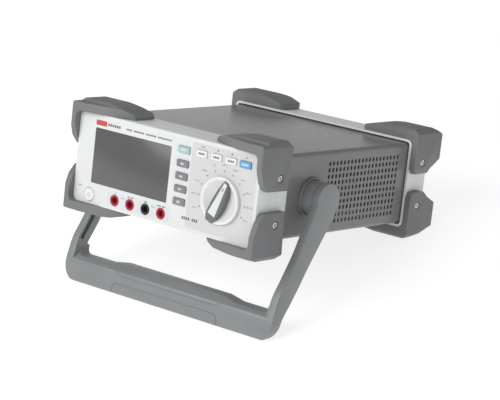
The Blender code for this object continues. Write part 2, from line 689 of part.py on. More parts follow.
def carry_handle():
    """One moulding: two arms, the grip, and a spigot that turns in each hub."""
    axis = bpy.data.objects.new("handle_axis", None)
    PARTS.objects.link(axis)
    axis.parent = CASE
    axis.location = Vector((0.0, *PIVOT)) * MM
    handle = prism("carry_handle", [handle_side_view()], -150, 150, "X", GREY_PLASTIC)
    outer, opening = handle_front_view()
    shape = prism("handle_shape", [outer], -20, 130, "Y")
    gap = prism("handle_opening", [opening], -30, 140, "Y")
    keep_inside(handle, shape)
    cut(handle, gap)
    pocket = [(28.5, -71), (62, -71), (50, -87), (25.5, -87)]
    pockets = [prism(f"grip_pocket_{index}", [pocket], start, start + 76, "X")
               for index, start in enumerate((-118, -38, 42))]
    slope = [(5, -70.5), (20.9, -70.5), (31.5, -62.6), (31.5, -40), (5, -40)]
    chamfer = prism("grip_chamfer", [slope], 0.7 - ARM_INNER, ARM_INNER - 0.7, "X")
    reach = BUMPER_X + SWING_CLEARANCE
    swing = rods("swing_room", [PIVOT], SWING_RADIUS, -reach, reach, "X", sides=96)
    tools = [gap, shape, swing, chamfer, arm_channels(-1), arm_channels(1), *pockets]
    cut(handle, *tools[2:])
    for sign, side in ((-1, "left"), (1, "right")):
        spigot = rods(f"spigot_{side}", [PIVOT], SPIGOT_RADIUS, sign * 116.5,
                      sign * (ARM_INNER + 2), "X", sides=20)
        fuse(handle, spigot)
        tools.append(spigot)
    for piece in (handle, *tools):
        piece.parent = axis
        piece.matrix_parent_inverse = Matrix.Translation(-axis.location)


def handle_hubs():
    """A fixed boss on each side of the sleeve, in which the handle's spigot turns."""
    for sign, side in ((-1, "left"), (1, "right")):
        start, end = sorted((sign * (SLEEVE_X + GAP), sign * (ARM_INNER - GAP)))
        prism(f"handle_boss_{side}", [circle(PIVOT, HUB_RADIUS, 32),
                                      circle(PIVOT, SPIGOT_RADIUS + GAP, 20)], start, end, "X",
              GREY_PLASTIC)


# ---- Inside --------------------------------------------------------------------------------

FUSE_X = (-50.0, -34.0)
FUSE_RADIUS = 5.0
FUSE_Z = 26.0


def main_board():
    """The main board with its soldered filter capacitors and fuse clips."""
    board = block("main_board", (-112, 56, MAIN_BOARD_Z), (112, 262, MAIN_BOARD_TOP), BOARD_GREEN)
    cells = [(-26.0, 200.0), (-6.0, 200.0), (-26.0, 222.0)]
    capacitors = rods("filter_capacitors", cells, 8.0, MAIN_BOARD_TOP - 0.5, 46.0, "Z", sides=16)
    clips = [block(f"fuse_clip_{x:.0f}_{y}", (x - 4, y, MAIN_BOARD_TOP - 0.5),
                   (x + 4, y + 6, FUSE_Z - FUSE_RADIUS - GAP)) for x in FUSE_X for y in (76, 100)]
    return fuse(board, capacitors, *clips)


def transformer():
    """A laminated core with one winding on its middle leg."""
    x0, x1, z0, z1 = -100.0, -44.0, MAIN_BOARD_TOP + GAP, 64.0
    leg, window = 9.0, 9.6
    middle = (x0 + x1) / 2
    holes = [rectangle(middle - leg - window, z0 + leg, middle - leg, z1 - leg),
             rectangle(middle + leg, z0 + leg, middle + leg + window, z1 - leg)]
    prism("transformer_core", [rectangle(x0, z0, x1, z1), *holes], 190, 215, "Y", IRON)
    g = GAP
    coil = block("transformer_coil", (middle - leg - window + g, 182, z0 + leg + g),
                 (middle + leg + window - g, 223, z1 - leg - g), COPPER)
    cut(coil, block("coil_window", (middle - leg - g, 190 - g, z0), (middle + leg + g, 215 + g, z1)))


def components():
    """The shield over the measuring circuit, the heat sink and the two input fuses."""
    base = MAIN_BOARD_TOP + GAP
    shield = block("measuring_shield", (6, 72, base), (96, 168, 44), STEEL)
    cut(shield, block("shield_room", (7, 73, base - 1), (95, 167, 43)))
    fins = []
    for x in range(40, 88, 8):
        fins += [(x, 52), (x + 2, 52), (x + 2, base + 4), (x + 8, base + 4)]
    outline = [(40, base), *fins[:-1], (82, base)]
    prism("heat_sink", [outline], 196, 232, "Y", ALUMINIUM)
    for index, x in enumerate(FUSE_X, start=1):
        rods(f"current_fuse_{index}", [(x, FUSE_Z)], FUSE_RADIUS, 72, 110, "Y", CERAMIC, sides=14)


def ribbon_cable():
    """The flat cable from the front board down to the main board."""
    under = MAIN_BOARD_TOP + 3 * GAP
    run = curved([(BOARD_Y + BOARD_THICK + GAP, 36), (24, 36), (36, 30), (50, 22), (60, under),
                  (70, under)])
    top = [(y, z + 1.0) for y, z in run]
    return prism("ribbon_cable", [run + top[::-1]], -24, 4, "X", RIBBON)


def rear_connectors():
    back = REAR_PANEL_Y + 2
    x, z = INLET
    inlet = block("mains_inlet", (x - 13.7, 262.5, z - 10.2), (x + 13.7, back + 2, z + 10.2),
                  JACK_BLACK)
    flange = block("inlet_flange", (x - 20, back + GAP, z - 12.5), (x + 20, back + 3, z + 12.5))
    recess = prism("inlet_recess", [rounded(x - 12, z - 8.2, x + 12, z + 8.2, 4, 2)], 272,
                   back + 10, "Y")
    fuse(inlet, flange)
    pins = [rectangle(x + dx - 1, z + dz - 2, x + dx + 1, z + dz + 2)
            for dx, dz in ((-7, -2.5), (0, 2.5), (7, -2.5))]
    cut(inlet, recess)
    fuse(inlet, prism("inlet_pins", pins, 270, 280, "Y"))
    x, z = SERIAL_PORT
    serial = block("serial_port", (x - 9.6, 276, z - 5.1), (x + 9.6, back + 5, z + 5.1), STEEL,
                   edge=1.0)
    cut(serial, block("serial_mouth", (x - 8.4, back - 2, z - 4), (x + 8.4, back + 8, z + 4)))
    x, z = USB_PORT
    usb = block("usb_port", (x - 6.1, 272, z - 5.6), (x + 6.1, back + 1, z + 5.6), STEEL)
    cut(usb, block("usb_mouth", (x - 4.6, back - 9, z - 4.3), (x + 4.6, back + 4, z + 4.3)))
    fuse_cap = rods("fuse_cap", [FUSE_CAP], 6.0, 268, back + 1, "Y", JACK_BLACK, sides=16)
    fuse(fuse_cap, rods("fuse_cap_rim", [FUSE_CAP], 7.6, back + GAP, back + 5, "Y", sides=16))
    cut(fuse_cap, block("fuse_slot", (FUSE_CAP[0] - 6, back + 3.6, FUSE_CAP[1] - 0.9),
                        (FUSE_CAP[0] + 6, back + 8, FUSE_CAP[1] + 0.9)))


# ---- Assembly ------------------------------------------------------------------------------

def stand_on_floor():
    """Tilts the case on its handle, with the origin under the middle of the whole object."""
    CASE.rotation_euler.x = -TILT
    bpy.context.view_layer.update()
    graph = bpy.context.evaluated_depsgraph_get()
    corners = []
    for obj in PARTS.objects:
        if obj.type != "MESH":
            continue
        evaluated = obj.evaluated_get(graph)
        mesh = evaluated.to_mesh()
        corners += [evaluated.matrix_world @ vert.co for vert in mesh.vertices]
        evaluated.to_mesh_clear()
    middle_y = (min(c.y for c in corners) + max(c.y for c in corners)) / 2
    CASE.location = (0.0, -middle_y, -min(c.z for c in corners))
    bpy.context.view_layer.update()


def build():
    front_bezel()
    rear_bezel()
    case_sleeve()
    rear_panel()
    chassis_tray()
    bumpers()
    bumper_screws()
    display()
    keys()
    power()
    input_jacks()
    dial()
    front_board()
    carry_handle()
    handle_hubs()
    main_board()
    transformer()
    components()
    ribbon_cable()
    rear_connectors()
    stand_on_floor()


build()
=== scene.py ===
"""Looks for a bench multimeter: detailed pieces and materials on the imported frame.

Everything is built in the case frame, in millimetres: X to the right seen from the front, Y to
the back with 0 on the front panel, Z up with 0 under the front bezel. place() then moves it to
the row frame, where the case leans back on its handle.
"""

import json
import math

import bmesh
import bpy
from mathutils import Matrix, Vector

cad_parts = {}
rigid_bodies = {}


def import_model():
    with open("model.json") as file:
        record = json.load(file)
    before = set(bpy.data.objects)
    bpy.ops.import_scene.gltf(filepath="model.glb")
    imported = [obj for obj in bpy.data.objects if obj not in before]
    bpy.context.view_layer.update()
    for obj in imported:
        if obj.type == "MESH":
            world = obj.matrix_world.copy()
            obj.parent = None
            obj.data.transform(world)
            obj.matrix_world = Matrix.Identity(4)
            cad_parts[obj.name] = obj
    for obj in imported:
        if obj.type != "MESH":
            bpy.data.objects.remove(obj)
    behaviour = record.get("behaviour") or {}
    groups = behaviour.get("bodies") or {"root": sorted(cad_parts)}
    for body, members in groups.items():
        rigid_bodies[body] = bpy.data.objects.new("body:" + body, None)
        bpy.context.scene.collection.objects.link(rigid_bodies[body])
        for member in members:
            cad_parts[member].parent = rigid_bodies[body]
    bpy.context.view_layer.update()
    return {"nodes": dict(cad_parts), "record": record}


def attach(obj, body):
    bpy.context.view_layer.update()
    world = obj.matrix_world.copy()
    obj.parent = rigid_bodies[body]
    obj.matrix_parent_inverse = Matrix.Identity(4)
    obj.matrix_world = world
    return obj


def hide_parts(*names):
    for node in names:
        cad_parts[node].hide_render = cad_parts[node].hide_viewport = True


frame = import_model()

MM = 0.001

# The case's sizes, as the CAD has them
BEZEL_WIDTH = 252.0
BEZEL_HEIGHT = 98.0
FRONT_DEPTH = 47.0
REAR_START = 261.0
CASE_DEPTH = 295.0
BEZEL_RADIUS = 6.0
BEZEL_WALL = 3.5
PANEL_WALL = 3.0
HALF_WIDTH = BEZEL_WIDTH / 2
SLEEVE_INSET = 4.0
SLEEVE_X = HALF_WIDTH - SLEEVE_INSET
SLEEVE_SHEET = 1.2
SLEEVE_RADIUS = 5.0
SLEEVE_TUCK = 11.0
GAP = 0.3
REST_DEPTH = 98.0
PIVOT = (93.0, 47.0)
HUB_RADIUS = 18.5
SPIGOT_RADIUS = 9.0
ARM_INNER = 137.7
ARM_OUTER = 146.5
GRIP_TOP = -63.5
GRIP_ENDS = -66.5
GRIP_FILLET = 10.0
HANDLE_CORNER = 20.0
BUMPER_X = 133.2
BUMPER_TOP = 110.8
LIP_Y = -7.8
SCREW_OFFSET = 24.2
SCREW_Y = (24.7, 277.5)
WINDOW = (-102.3, 23.3, 6.2, 83.4)
DIAL_CENTRE = (79.6, 41.4)
DIAL_RADIUS = 24.8
DIAL_WELL = 21.2
DIAL_REST = 67.5
JACKS = [(-65.6 + 22.0 * index, 10.7) for index in range(4)]
POWER_CENTRE = (-102.5, 9.8)
POWER_RADIUS = 7.0
SOFT_KEY_X = 23.8
SOFT_KEY = (15.6, 7.0)
TOP_KEY = (13.6, 6.8)
KEYS = {
    "key_select": (SOFT_KEY_X, 83.2, *SOFT_KEY),
    "key_soft_1": (SOFT_KEY_X, 68.7, *SOFT_KEY),
    "key_soft_2": (SOFT_KEY_X, 55.3, *SOFT_KEY),
    "key_soft_3": (SOFT_KEY_X, 41.9, *SOFT_KEY),
    "key_soft_4": (SOFT_KEY_X, 28.5, *SOFT_KEY),
    "key_hold": (48.1, 83.9, *TOP_KEY),
    "key_range": (68.1, 83.9, *TOP_KEY),
    "key_relative": (87.6, 83.9, *TOP_KEY),
    "key_shift": (106.4, 83.9, 14.8, 7.0),
}
KEY_PROUD = 1.6
KEY_CLEARANCE = 0.4
KEY_FLANGE = 1.4
REAR_PANEL_Y = 286.0
PANEL_SCREWS = [(x, z) for x in (-115.5, 115.5) for z in (10.5, 87.5)]
PRINT = 0.06

# The frame's joints give the case's tilt and place
BEHAVIOUR = frame["record"]["behaviour"]
JOINTS = {joint["name"]: joint for joint in BEHAVIOUR["joints"]}
BODY_OF = {node: body for body, nodes in BEHAVIOUR["bodies"].items() for node in nodes}
OUTWARD = Vector(JOINTS["dial_turn"]["axis"])
TILT = math.atan2(OUTWARD.z, -OUTWARD.y)
LEAN = Matrix.Rotation(-TILT, 4, "X")
HANDLE_PLACE = Vector(JOINTS["handle_swing"]["pos_m"])
PLACE = Matrix.Translation(HANDLE_PLACE - LEAN @ (Vector((0.0, *PIVOT)) * MM)) @ LEAN


# ---- Camera, floor and light --------------------------------------------------------------

def camera():
    """The camera at the photo's angle; its place is given in the case frame, in metres."""
    at = Vector((1.39687674, -1.62708959, 0.45006517))
    ahead = Vector((-0.60717567, 0.77157047, -0.18978071))
    up = Vector((-0.20645854, 0.0774431, 0.97538579))
    across = ahead.cross(up).normalized()
    up = across.cross(ahead).normalized()
    turn = Matrix((across, up, -ahead)).transposed().to_4x4()
    data = bpy.data.cameras.new("camera")
    data.sensor_width = 36.0
    data.lens = 150.82
    data.clip_end = 30.0
    obj = bpy.data.objects.new("camera", data)
    obj.matrix_world = PLACE @ Matrix.Translation(at) @ turn
    bpy.context.scene.collection.objects.link(obj)
    bpy.context.scene.camera = obj


def soft_light(name, energy, size, place):
    """A round area light aimed at the middle of the object."""
    data = bpy.data.lights.new(name, "AREA")
    data.energy = energy
    data.shape = "DISK"
    data.size = size
    obj = bpy.data.objects.new(name, data)
    obj.location = place
    towards = Vector((0.0, 0.0, 0.06)) - Vector(place)
    obj.rotation_euler = towards.to_track_quat("-Z", "Y").to_euler()
    bpy.context.scene.collection.objects.link(obj)


def studio():
    """Soft light from the front over a pale floor that glows a little, like a light table."""
    world = bpy.data.worlds.new("studio")
    world.use_nodes = True
    background = world.node_tree.nodes["Background"]
    background.inputs["Color"].default_value = (1.0, 1.0, 1.0, 1.0)
    background.inputs["Strength"].default_value = 0.36
    bpy.context.scene.world = world
    bpy.context.scene.view_settings.view_transform = "Standard"
    soft_light("front_light", 30.0, 1.8, (-0.5, -1.6, 1.5))
    soft_light("side_light", 5.0, 1.2, (2.2, -0.9, 0.9))
    mesh = bpy.data.meshes.new("floor")
    bm = bmesh.new()
    bmesh.ops.create_grid(bm, x_segments=1, y_segments=1, size=20.0)
    bm.to_mesh(mesh)
    bm.free()
    floor = bpy.data.objects.new("floor", mesh)
    bpy.context.scene.collection.objects.link(floor)
    paper = surface("floor_paper", (0.45, 0.45, 0.45), 0.9, speckle=0.0, mottle=0.01)
    shader = paper.node_tree.nodes["Principled BSDF"]
    shader.inputs["Emission Color"].default_value = (1.0, 1.0, 1.0, 1.0)
    shader.inputs["Emission Strength"].default_value = 0.74
    mesh.materials.append(paper)


# ---- Materials ------------------------------------------------------------------------------

def link(tree, source, output, target, socket):
    tree.links.new(source.outputs[output], target.inputs[socket])


def noise(tree, coordinates, size, detail=3.0):
    """Noise whose blobs are about size millimetres across."""
    node = tree.nodes.new("ShaderNodeTexNoise")
    node.inputs["Scale"].default_value = 1.0 / (size * MM)
    node.inputs["Detail"].default_value = detail
    link(tree, coordinates, "Object", node, "Vector")
    return node


def spread(tree, source, output, low, high, start=0.3, end=0.7):
    """Maps a texture's middle range to low ... high."""
    node = tree.nodes.new("ShaderNodeMapRange")
    node.inputs["From Min"].default_value = start
    node.inputs["From Max"].default_value = end
    node.inputs["To Min"].default_value = low
    node.inputs["To Max"].default_value = high
    link(tree, source, output, node, "Value")
    return node


def mixed(tree, factor, output, first, second):
    """A colour that runs from first to second with a factor."""
    node = tree.nodes.new("ShaderNodeMix")
    node.data_type = "RGBA"
    node.inputs["A"].default_value = (*first, 1.0)
    node.inputs["B"].default_value = (*second, 1.0)
    link(tree, factor, output, node, "Factor")
    return node


def surface(name, colour, roughness, metallic=0.0, speckle=0.5, relief=0.015, mottle=0.05,
            wear=0.0, coat=0.0, stretch=None):
    """A moulded, painted or metal finish.

    speckle is the texture's grain in millimetres and relief its depth, mottle is how far the
    colour varies over the surface, wear lightens the edges, and stretch draws the grain out
    along an axis, as brushing does.
    """
    material = bpy.data.materials.new(name)
    material.use_nodes = True
    tree = material.node_tree
    shader = tree.nodes["Principled BSDF"]
    shader.inputs["Metallic"].default_value = metallic
    shader.inputs["Coat Weight"].default_value = coat
    shader.inputs["Coat Roughness"].default_value = 0.12
    coordinates = tree.nodes.new("ShaderNodeTexCoord")
    broad = noise(tree, coordinates, 38.0)
    factor = spread(tree, broad, "Fac", 0.0, 1.0)
    darker = [value * (1.0 - mottle) for value in colour]
    lighter = [min(1.0, value * (1.0 + mottle)) for value in colour]
    shade = mixed(tree, factor, "Result", darker, lighter)
    if wear:
        geometry = tree.nodes.new("ShaderNodeNewGeometry")
        edge = spread(tree, geometry, "Pointiness", 0.0, wear, 0.52, 0.6)
        worn = mixed(tree, edge, "Result", darker, [min(1.0, value * 1.5 + 0.03) for value in colour])
        link(tree, shade, "Result", worn, "A")
        shade = worn
    link(tree, shade, "Result", shader, "Base Color")
    patches = noise(tree, coordinates, 9.0)
    gloss = spread(tree, patches, "Fac", roughness - 0.02, roughness + 0.02)
    link(tree, gloss, "Result", shader, "Roughness")
    if speckle:
        grain = noise(tree, coordinates, speckle, 2.0)
        if stretch:
            mapping = tree.nodes.new("ShaderNodeMapping")
            mapping.inputs["Scale"].default_value = stretch
            link(tree, coordinates, "Object", mapping, "Vector")
            link(tree, mapping, "Vector", grain, "Vector")
        bump = tree.nodes.new("ShaderNodeBump")
        bump.inputs["Strength"].default_value = 0.35
        bump.inputs["Distance"].default_value = relief * MM
        link(tree, grain, "Fac", bump, "Height")
        link(tree, bump, "Normal", shader, "Normal")
    return material


WHITE = surface("white_plastic", (0.715, 0.73, 0.73), 0.42, relief=0.005, mottle=0.015)
PANEL = surface("panel_film", (0.62, 0.62, 0.615), 0.5, speckle=0.35, mottle=0.015)
SOCKET_FIELD = surface("socket_film", (0.66, 0.70, 0.71), 0.5, speckle=0.35, mottle=0.03)
RUBBER = surface("bumper_rubber", (0.170, 0.174, 0.178), 0.62, speckle=0.8, relief=0.03,
                 mottle=0.06, wear=0.35)
PAINT = surface("sleeve_paint", (0.185, 0.185, 0.187), 0.31, relief=0.004, mottle=0.02)
GREY = surface("handle_plastic", (0.225, 0.235, 0.24), 0.42, speckle=0.6, relief=0.02,
               mottle=0.04, wear=0.35)
DISC = surface("dial_plastic", (0.79, 0.79, 0.785), 0.35, speckle=0.5, mottle=0.02)
GRIP = surface("grip_plastic", (0.14, 0.15, 0.15), 0.4, speckle=0.5, mottle=0.05, wear=0.3)
INSERT = surface("insert_plastic", (0.70, 0.72, 0.73), 0.3, speckle=0.5, mottle=0.01, coat=0.3)
KEY_GREY = surface("key_grey", (0.22, 0.22, 0.235), 0.42, speckle=0.5, mottle=0.04, wear=0.3)
KEY_WHITE = surface("key_white", (0.78, 0.79, 0.78), 0.4, speckle=0.5, mottle=0.015)
KEY_GREEN = surface("key_green", (0.37, 0.52, 0.50), 0.4, speckle=0.5, mottle=0.03, wear=0.3)
KEY_BLUE = surface("key_blue", (0.12, 0.36, 0.64), 0.38, speckle=0.5, mottle=0.03, wear=0.3)
RED = surface("socket_red", (0.46, 0.025, 0.05), 0.28, speckle=0.5, mottle=0.05, coat=0.3)
BLACK = surface("socket_black", (0.035, 0.032, 0.03), 0.3, speckle=0.5, mottle=0.05, coat=0.3)
SCREEN = surface("screen_glass", (0.10, 0.10, 0.102), 0.22, speckle=0.0, mottle=0.02)
LCD = surface("lcd_glass", (0.10, 0.11, 0.10), 0.2, speckle=0.0, mottle=0.03)
STEEL = surface("satin_steel", (0.62, 0.62, 0.63), 0.28, 1.0, speckle=0.4, relief=0.01,
                mottle=0.04, stretch=(1.0, 12.0, 12.0))
SCREW = surface("screw_steel", (0.66, 0.65, 0.63), 0.25, 1.0, speckle=0.3, mottle=0.05)
ALLOY = surface("aluminium", (0.72, 0.73, 0.74), 0.38, 1.0, speckle=0.4, relief=0.01,
                mottle=0.03, stretch=(1.0, 12.0, 12.0))
BRASS = surface("contact_brass", (0.55, 0.40, 0.20), 0.28, 1.0, speckle=0.3, mottle=0.05)
BOARD = surface("board_mask", (0.02, 0.14, 0.06), 0.35, speckle=1.5, relief=0.02, mottle=0.2)
DARK = surface("dark_plastic", (0.035, 0.035, 0.037), 0.45, speckle=0.5, mottle=0.08)
IRON = surface("iron_laminations", (0.16, 0.16, 0.17), 0.45, 0.8, speckle=0.5, relief=0.03,
               mottle=0.15, stretch=(0.3, 30.0, 0.3))
COPPER = surface("enamelled_copper", (0.58, 0.25, 0.12), 0.3, 0.9, speckle=0.6, relief=0.12,
                 mottle=0.12, stretch=(0.3, 0.3, 8.0))
RIBBON = surface("ribbon_jacket", (0.42, 0.42, 0.43), 0.5, speckle=1.2, relief=0.15,
                 mottle=0.05, stretch=(10.0, 0.3, 0.3))
CERAMIC = surface("fuse_ceramic", (0.78, 0.76, 0.70), 0.3, speckle=0.5, mottle=0.05, coat=0.4)
INK = surface("print_grey", (0.12, 0.12, 0.125), 0.6, speckle=0.3, mottle=0.1)
INK_PALE = surface("print_pale", (0.30, 0.31, 0.32), 0.6, speckle=0.3, mottle=0.1)
INK_RED = surface("print_red", (0.52, 0.07, 0.08), 0.6, speckle=0.3, mottle=0.1)
INK_BLUE = surface("print_blue", (0.22, 0.40, 0.52), 0.6, speckle=0.3, mottle=0.1)
INK_WHITE = surface("print_white", (0.70, 0.71, 0.72), 0.6, speckle=0.3, mottle=0.05)

CAD_FINISHES = {
    "rear_panel": ALLOY, "chassis_tray": ALLOY, "heat_sink": ALLOY,
    "lcd_frame": STEEL, "measuring_shield": STEEL, "dial_shaft": STEEL,
    "serial_port": STEEL, "usb_port": STEEL, "lcd_module": LCD,
    "front_board": BOARD, "main_board": BOARD, "power_switch": DARK, "rotary_switch": DARK,
    "mains_inlet": DARK, "fuse_cap": DARK, "transformer_core": IRON, "transformer_coil": COPPER,
    "current_fuse_1": CERAMIC, "current_fuse_2": CERAMIC, "ribbon_cable": RIBBON,
}


# ---- Outlines -------------------------------------------------------------------------------

def rectangle(x0, y0, x1, y1):
    return [(x0, y0), (x1, y0), (x1, y1), (x0, y1)]


def arc(centre, radius, start, end, steps):
    """Points on an arc, from one angle to another in degrees."""
    angles = [math.radians(start + (end - start) * step / steps) for step in range(steps + 1)]
    return [(centre[0] + radius * math.cos(a), centre[1] + radius * math.sin(a)) for a in angles]


def circle(centre, radius, sides=48):
    return arc(centre, radius, 0.0, 360.0, sides)[:-1]


def rounded(x0, y0, x1, y1, radius, steps=8):
    points = arc((x1 - radius, y0 + radius), radius, -90, 0, steps)
    points += arc((x1 - radius, y1 - radius), radius, 0, 90, steps)
    points += arc((x0 + radius, y1 - radius), radius, 90, 180, steps)
    points += arc((x0 + radius, y0 + radius), radius, 180, 270, steps)
    return points


def slot(centre, width, height, steps=5):
    """An upright oblong with round ends."""
    x, y = centre
    half, lift = width / 2, (height - width) / 2
    return arc((x, y + lift), half, 0, 180, steps) + arc((x, y - lift), half, 180, 360, steps)


def curved(points, steps=6):
    """A smooth run through the points (Catmull-Rom), ends included."""
    padded = [points[0], *points, points[-1]]
    run = []
    for before, start, end, after in zip(padded, padded[1:], padded[2:], padded[3:]):
        for step in range(steps):
            t = step / steps
            run.append(tuple(
                0.5 * (2 * b + (c - a) * t + (2 * a - 5 * b + 4 * c - d) * t ** 2
                       + (3 * b - a - 3 * c + d) * t ** 3)
                for a, b, c, d in zip(before, start, end, after)))
    return run + [points[-1]]


def flipped(outline):
    return [(-across, up) for across, up in reversed(outline)]


def upside_down(outline):
    return [(across, BEZEL_HEIGHT - up) for across, up in reversed(outline)]


def floor_z(y):
    """Height in the case frame of the floor that the tilted case stands on."""
    return (y * math.sin(TILT) - REST_DEPTH) / math.cos(TILT)


# ---- Solids ---------------------------------------------------------------------------------

# Turns a shape made along Z so that it runs along another axis
ALONG = {
    "X": Matrix(((0, 0, 1), (1, 0, 0), (0, 1, 0))).to_4x4(),
    "Y": Matrix.Rotation(math.radians(90), 4, "X"),
    "Z": Matrix.Identity(4),
}
SHOP = bpy.data.collections.new("shop")
bpy.context.scene.collection.children.link(SHOP)


def blank(name, bm):
    """An object for a mesh that is still being worked on."""
    bmesh.ops.recalc_face_normals(bm, faces=bm.faces)
    mesh = bpy.data.meshes.new(name)
    bm.to_mesh(mesh)
    bm.free()
    obj = bpy.data.objects.new(name, mesh)
    SHOP.objects.link(obj)
    return obj


def prism(name, outlines, start, end, axis):
    """Closed outlines extruded along an axis; an outline inside another is a hole in it."""
    curve = bpy.data.curves.new(name, "CURVE")
    curve.dimensions = "2D"
    curve.fill_mode = "BOTH"
    curve.extrude = abs(end - start) / 2 * MM
    for outline in outlines:
        spline = curve.splines.new("POLY")
        spline.points.add(len(outline) - 1)
        for point, (across, up) in zip(spline.points, outline):
            point.co = (across * MM, up * MM, 0.0, 1.0)
        spline.use_cyclic_u = True
    guide = bpy.data.objects.new(name + "_outline", curve)
    SHOP.objects.link(guide)
    evaluated = guide.evaluated_get(bpy.context.evaluated_depsgraph_get())
    extruded = bpy.data.meshes.new_from_object(evaluated)
    bpy.data.objects.remove(guide, do_unlink=True)
    middle = -(start + end) / 2 if axis == "Y" else (start + end) / 2
    bm = bmesh.new()
    bm.from_mesh(extruded)
    bmesh.ops.remove_doubles(bm, verts=bm.verts, dist=0.001 * MM)
    bmesh.ops.translate(bm, vec=(0.0, 0.0, middle * MM), verts=bm.verts)
    bmesh.ops.transform(bm, matrix=ALONG[axis], verts=bm.verts)
    return blank(name, bm)


def block(name, low, high):
    bm = bmesh.new()
    bmesh.ops.create_cube(bm, size=1.0)
    size = Vector(high) - Vector(low)
    centre = (Vector(high) + Vector(low)) / 2
    bmesh.ops.scale(bm, vec=size * MM, verts=bm.verts)
    bmesh.ops.translate(bm, vec=centre * MM, verts=bm.verts)
    return blank(name, bm)


def turned(name, profile, centre=(0.0, 0.0, 0.0), axis="Y", steps=64):
    """A profile of (radius, height) turned about an axis; Y heights run towards the front."""
    bm = bmesh.new()
    corners = [bm.verts.new((radius * MM, 0.0, height * MM)) for radius, height in profile]
    edges = [bm.edges.new(pair) for pair in zip(corners, corners[1:])]
    bmesh.ops.spin(bm, geom=[*corners, *edges], cent=(0, 0, 0), axis=(0, 0, 1),
                   angle=math.tau, steps=steps, use_merge=True)
    bmesh.ops.remove_doubles(bm, verts=bm.verts, dist=0.001 * MM)
    bmesh.ops.transform(bm, matrix=ALONG[axis], verts=bm.verts)
    bmesh.ops.translate(bm, vec=Vector(centre) * MM, verts=bm.verts)
    return blank(name, bm)


def boolean(obj, operation, tools):
    for tool in tools:
        modifier = obj.modifiers.new(operation.lower(), "BOOLEAN")
        modifier.operation = operation
        modifier.object = tool
        modifier.solver = "EXACT"
    return obj


def cut(obj, *tools):
    return boolean(obj, "DIFFERENCE", tools)


def keep_inside(obj, *tools):
    return boolean(obj, "INTERSECT", tools)


def fuse(obj, *tools):
    return boolean(obj, "UNION", tools)


def soften(obj, width, segments=3, angle=28.0):
    """Rounds every edge sharper than the angle."""
    flatten = obj.modifiers.new("flatten", "DECIMATE")
    flatten.decimate_type = "DISSOLVE"
    flatten.angle_limit = math.radians(0.4)
    bevel = obj.modifiers.new("soften", "BEVEL")
    bevel.width = width * MM
    bevel.segments = segments
    bevel.limit_method = "ANGLE"
    bevel.angle_limit = math.radians(angle)
    bevel.miter_outer = "MITER_ARC"
    return obj


def finished(obj, material, nodes=(), body="case", turn=None, smooth=32.0):
    """Applies the modifiers, puts the piece in the row frame and hangs it on its body."""
    bpy.context.view_layer.update()
    evaluated = obj.evaluated_get(bpy.context.evaluated_depsgraph_get())
    mesh = bpy.data.meshes.new_from_object(evaluated)
    obj.modifiers.clear()
    obj.data = mesh
    mesh.transform(PLACE @ (turn or Matrix.Identity(4)) @ obj.matrix_world)
    obj.matrix_world = Matrix.Identity(4)
    mesh.shade_smooth()
    mesh.set_sharp_from_angle(angle=math.radians(smooth))
    mesh.materials.clear()
    mesh.materials.append(material)
    SHOP.objects.unlink(obj)
    bpy.context.scene.collection.objects.link(obj)
    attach(obj, body)
    if nodes:
        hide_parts(*nodes)
    return obj


def clear_shop():
    for obj in list(SHOP.objects):
        bpy.data.objects.remove(obj, do_unlink=True)
    bpy.data.collections.remove(SHOP)


# ---- Case -----------------------------------------------------------------------------------

def bezel_outline(grow=0.0):
    return rounded(-HALF_WIDTH - grow, -grow, HALF_WIDTH + grow, BEZEL_HEIGHT + grow,
                   BEZEL_RADIUS + grow)


def bezel_cavity():
    wall = BEZEL_WALL
    return rounded(-HALF_WIDTH + wall, wall, HALF_WIDTH - wall, BEZEL_HEIGHT - wall, 3.0)


def screw_centres(y):
    middle = BEZEL_HEIGHT / 2
    return [(y, middle - SCREW_OFFSET), (y, middle + SCREW_OFFSET)]


def bolt_holes(name, y):
    return prism(name, [circle(centre, 2.2, 24) for centre in screw_centres(y)], -140, 140, "X")


def front_bezel():
    bezel = prism("front_bezel_shell", [bezel_outline()], 0, FRONT_DEPTH, "Y")
    cavity = prism("front_cavity", [bezel_cavity()], PANEL_WALL, FRONT_DEPTH + 5, "Y")
    holes = [circle(DIAL_CENTRE, DIAL_WELL, 96), circle(POWER_CENTRE, POWER_RADIUS + KEY_CLEARANCE, 48)]
    holes += [circle(jack, 5.1, 36) for jack in JACKS]
    for x, z, width, height in KEYS.values():
        w = width / 2 + KEY_CLEARANCE
        h = height / 2 + KEY_CLEARANCE
        holes.append(rounded(x - w, z - h, x + w, z + h, 0.9, 4))
    holes.append(rounded(*WINDOW, 1.0, 4))
    cut(bezel, cavity, prism("panel_holes", holes, -5, PANEL_WALL + 5, "Y"),
        bolt_holes("front_bolts", SCREW_Y[0]))
    soften(bezel, 0.45, 2)
    finished(bezel, WHITE, ["front_bezel"])


REAR_RIM = 2.5


